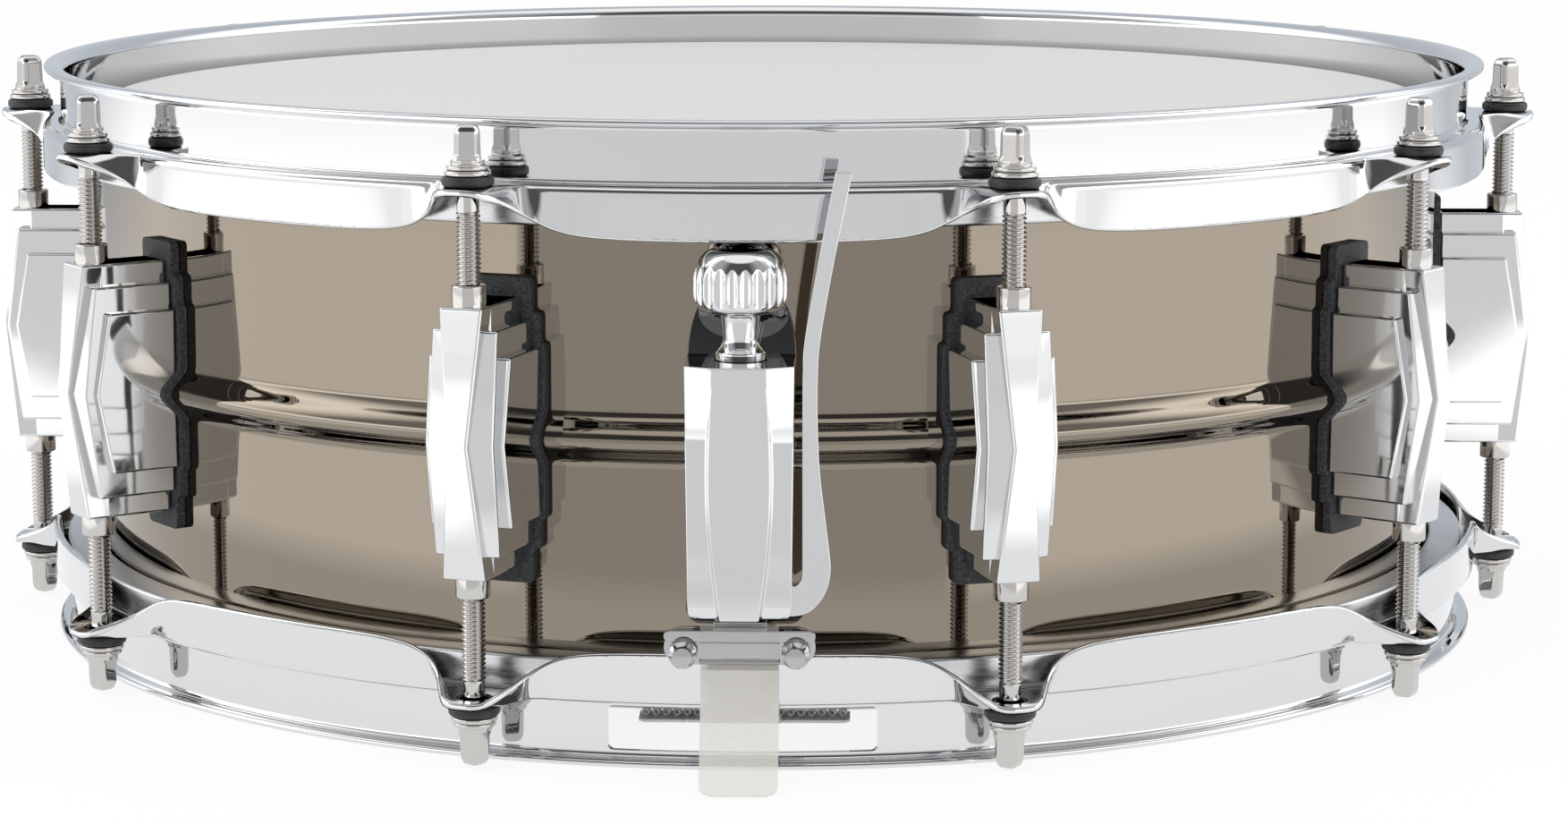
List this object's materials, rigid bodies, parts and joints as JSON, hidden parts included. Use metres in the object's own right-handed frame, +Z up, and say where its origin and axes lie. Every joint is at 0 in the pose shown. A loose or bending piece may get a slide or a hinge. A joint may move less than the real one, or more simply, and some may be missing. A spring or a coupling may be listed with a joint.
{
  "type": "snare drum",
  "caption": "Snare drum with a beaded metal shell, flanged steel hoops, stepped double-ended lugs, side-throw strainer, butt plate and coiled wires under the lower head.",
  "frame": {"origin": "centre of the drum on the plane of the lower rim", "axes": "+Z up along the drum axis, -Y towards the strainer, +X to the right of the strainer"},
  "size_m": [0.4112, 0.4284, 0.148],
  "materials": {
    "black_nickel": "polished black nickel plate",
    "chrome": "polished chrome plate",
    "rubber": "matt black rubber",
    "coated_film": "coated white film",
    "clear_film": "thin hazy film",
    "flesh_hoop": "plain aluminium",
    "steel": "satin steel",
    "strap": "milky plastic"
  },
  "bodies": {
    "drum": {"shell": "black_nickel", "vent_grommet": "rubber", "batter_hoop": "chrome", "batter_head": "coated_film", "batter_flesh_hoop": "flesh_hoop", "snare_hoop": "chrome", "snare_head": "clear_film", "snare_flesh_hoop": "flesh_hoop", "lug_01": "chrome", "lug_02": "chrome", "lug_03": "chrome", "lug_04": "chrome", "lug_05": "chrome", "lug_06": "chrome", "lug_07": "chrome", "lug_08": "chrome", "lug_09": "chrome", "lug_10": "chrome", "lug_gaskets": "rubber", "lug_nuts": "chrome", "lug_screws": "steel", "rod_washers": "chrome", "rod_cushions": "rubber", "strainer_base": "chrome", "strainer_body": "chrome", "mount_screws": "steel", "lever_pivot": "steel", "butt_plate": "chrome", "butt_clamp": "chrome", "butt_screws": "chrome", "strap_rear": "strap"},
    "lever": {"strainer_lever": "chrome"},
    "slide": {"strainer_slide": "steel"},
    "knob": {"tension_knob": "chrome"},
    "clamp": {"snare_clamp": "chrome", "clamp_plate": "chrome", "clamp_screws": "chrome", "strap_front": "strap"},
    "snares": {"snare_wires": "steel", "snare_end_plates": "steel"},
    "rod_batter_01": {"batter_rod_01": "chrome"},
    "rod_snare_01": {"snare_rod_01": "chrome"},
    "rod_batter_02": {"batter_rod_02": "chrome"},
    "rod_snare_02": {"snare_rod_02": "chrome"},
    "rod_batter_03": {"batter_rod_03": "chrome"},
    "rod_snare_03": {"snare_rod_03": "chrome"},
    "rod_batter_04": {"batter_rod_04": "chrome"},
    "rod_snare_04": {"snare_rod_04": "chrome"},
    "rod_batter_05": {"batter_rod_05": "chrome"},
    "rod_snare_05": {"snare_rod_05": "chrome"},
    "rod_batter_06": {"batter_rod_06": "chrome"},
    "rod_snare_06": {"snare_rod_06": "chrome"},
    "rod_batter_07": {"batter_rod_07": "chrome"},
    "rod_snare_07": {"snare_rod_07": "chrome"},
    "rod_batter_08": {"batter_rod_08": "chrome"},
    "rod_snare_08": {"snare_rod_08": "chrome"},
    "rod_batter_09": {"batter_rod_09": "chrome"},
    "rod_snare_09": {"snare_rod_09": "chrome"},
    "rod_batter_10": {"batter_rod_10": "chrome"},
    "rod_snare_10": {"snare_rod_10": "chrome"}
  },
  "joints": [
    {"name": "lever_throw", "type": "hinge", "parent": "drum", "child": "lever", "pos_m": [0.009, -0.1988, 0.0427], "axis": [0, 1, 0], "range_deg": [0, 75]},
    {"name": "slide_drop", "type": "slide", "parent": "drum", "child": "slide", "axis": [0, 0, 1], "range_m": [-0.0062, 0]},
    {"name": "snares_drop", "type": "hinge", "parent": "drum", "child": "snares", "pos_m": [0, 0.1718, 0.00735], "axis": [1, 0, 0], "range_deg": [0, 1.05]},
    {"name": "knob_turn", "type": "hinge", "parent": "slide", "child": "knob", "pos_m": [0, -0.1914, 0.112], "axis": [0, 0, 1], "range_deg": [-360, 900]},
    {"name": "clamp_adjust", "type": "slide", "parent": "slide", "child": "clamp", "axis": [0, 0, 1], "range_m": [-0.00174, 0.00069]},
    {"name": "tension_rod_batter_01_turn", "type": "hinge", "parent": "drum", "child": "rod_batter_01", "pos_m": [0.06088, -0.18736, 0.134], "axis": [0, 0, 1], "continuous": true},
    {"name": "tension_rod_batter_02_turn", "type": "hinge", "parent": "drum", "child": "rod_batter_02", "pos_m": [0.15938, -0.11579, 0.134], "axis": [0, 0, 1], "continuous": true},
    {"name": "tension_rod_batter_03_turn", "type": "hinge", "parent": "drum", "child": "rod_batter_03", "pos_m": [0.197, 0, 0.134], "axis": [0, 0, 1], "continuous": true},
    {"name": "tension_rod_batter_04_turn", "type": "hinge", "parent": "drum", "child": "rod_batter_04", "pos_m": [0.15938, 0.11579, 0.134], "axis": [0, 0, 1], "continuous": true},
    {"name": "tension_rod_batter_05_turn", "type": "hinge", "parent": "drum", "child": "rod_batter_05", "pos_m": [0.06088, 0.18736, 0.134], "axis": [0, 0, 1], "continuous": true},
    {"name": "tension_rod_batter_06_turn", "type": "hinge", "parent": "drum", "child": "rod_batter_06", "pos_m": [-0.06088, 0.18736, 0.134], "axis": [0, 0, 1], "continuous": true},
    {"name": "tension_rod_batter_07_turn", "type": "hinge", "parent": "drum", "child": "rod_batter_07", "pos_m": [-0.15938, 0.11579, 0.134], "axis": [0, 0, 1], "continuous": true},
    {"name": "tension_rod_batter_08_turn", "type": "hinge", "parent": "drum", "child": "rod_batter_08", "pos_m": [-0.197, 0, 0.134], "axis": [0, 0, 1], "continuous": true},
    {"name": "tension_rod_batter_09_turn", "type": "hinge", "parent": "drum", "child": "rod_batter_09", "pos_m": [-0.15938, -0.11579, 0.134], "axis": [0, 0, 1], "continuous": true},
    {"name": "tension_rod_batter_10_turn", "type": "hinge", "parent": "drum", "child": "rod_batter_10", "pos_m": [-0.06088, -0.18736, 0.134], "axis": [0, 0, 1], "continuous": true},
    {"name": "tension_rod_snare_01_turn", "type": "hinge", "parent": "drum", "child": "rod_snare_01", "pos_m": [0.06088, -0.18736, 0.014], "axis": [0, 0, 1], "continuous": true},
    {"name": "tension_rod_snare_02_turn", "type": "hinge", "parent": "drum", "child": "rod_snare_02", "pos_m": [0.15938, -0.11579, 0.014], "axis": [0, 0, 1], "continuous": true},
    {"name": "tension_rod_snare_03_turn", "type": "hinge", "parent": "drum", "child": "rod_snare_03", "pos_m": [0.197, 0, 0.014], "axis": [0, 0, 1], "continuous": true},
    {"name": "tension_rod_snare_04_turn", "type": "hinge", "parent": "drum", "child": "rod_snare_04", "pos_m": [0.15938, 0.11579, 0.014], "axis": [0, 0, 1], "continuous": true},
    {"name": "tension_rod_snare_05_turn", "type": "hinge", "parent": "drum", "child": "rod_snare_05", "pos_m": [0.06088, 0.18736, 0.014], "axis": [0, 0, 1], "continuous": true},
    {"name": "tension_rod_snare_06_turn", "type": "hinge", "parent": "drum", "child": "rod_snare_06", "pos_m": [-0.06088, 0.18736, 0.014], "axis": [0, 0, 1], "continuous": true},
    {"name": "tension_rod_snare_07_turn", "type": "hinge", "parent": "drum", "child": "rod_snare_07", "pos_m": [-0.15938, 0.11579, 0.014], "axis": [0, 0, 1], "continuous": true},
    {"name": "tension_rod_snare_08_turn", "type": "hinge", "parent": "drum", "child": "rod_snare_08", "pos_m": [-0.197, 0, 0.014], "axis": [0, 0, 1], "continuous": true},
    {"name": "tension_rod_snare_09_turn", "type": "hinge", "parent": "drum", "child": "rod_snare_09", "pos_m": [-0.15938, -0.11579, 0.014], "axis": [0, 0, 1], "continuous": true},
    {"name": "tension_rod_snare_10_turn", "type": "hinge", "parent": "drum", "child": "rod_snare_10", "pos_m": [-0.06088, -0.18736, 0.014], "axis": [0, 0, 1], "continuous": true}
  ],
  "couplings": [
    {"joint": "slide_drop", "follows": "lever_throw", "m_per_rad": -0.0045837},
    {"joint": "snares_drop", "follows": "lever_throw", "ratio": 0.013333},
    {"joint": "knob_turn", "follows": "clamp_adjust", "rad_per_m": -8976}
  ]
}
